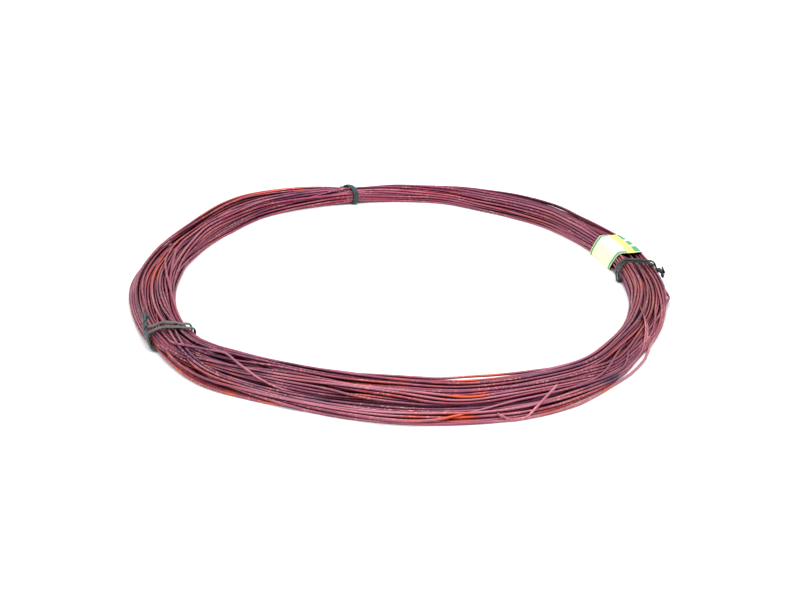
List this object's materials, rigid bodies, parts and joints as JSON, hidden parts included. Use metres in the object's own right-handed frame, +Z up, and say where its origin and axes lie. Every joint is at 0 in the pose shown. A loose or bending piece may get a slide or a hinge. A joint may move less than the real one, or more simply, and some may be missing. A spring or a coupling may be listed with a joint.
{
  "type": "coil of copper wire",
  "caption": "Flat round coil of bare annealed copper wire, lying loose and hand-tied with twisted coated wire ties, with a paper label band.",
  "frame": {"origin": "centre of the coil's bore, on the plane that the coil lies on", "axes": "+Z up along the bore's axis, out of the coil's upper end; +X towards the right-hand tie and the label's end of the coil, -Y towards the viewer"},
  "size_m": [0.338, 0.338, 0.0207],
  "materials": {
    "copper_wire": "satin, heat-oxidised annealed copper, mauve with orange-red and blue-grey patches",
    "coated_tie": "satin, dark green plastic coating on a soft wire",
    "label_paper": "matt coated paper with green and yellow bands"
  },
  "bodies": {
    "root": {"wire_coil": "copper_wire", "tie_left": "coated_tie", "tie_back": "coated_tie", "tie_right": "coated_tie", "label_band": "label_paper"}
  },
  "joints": []
}
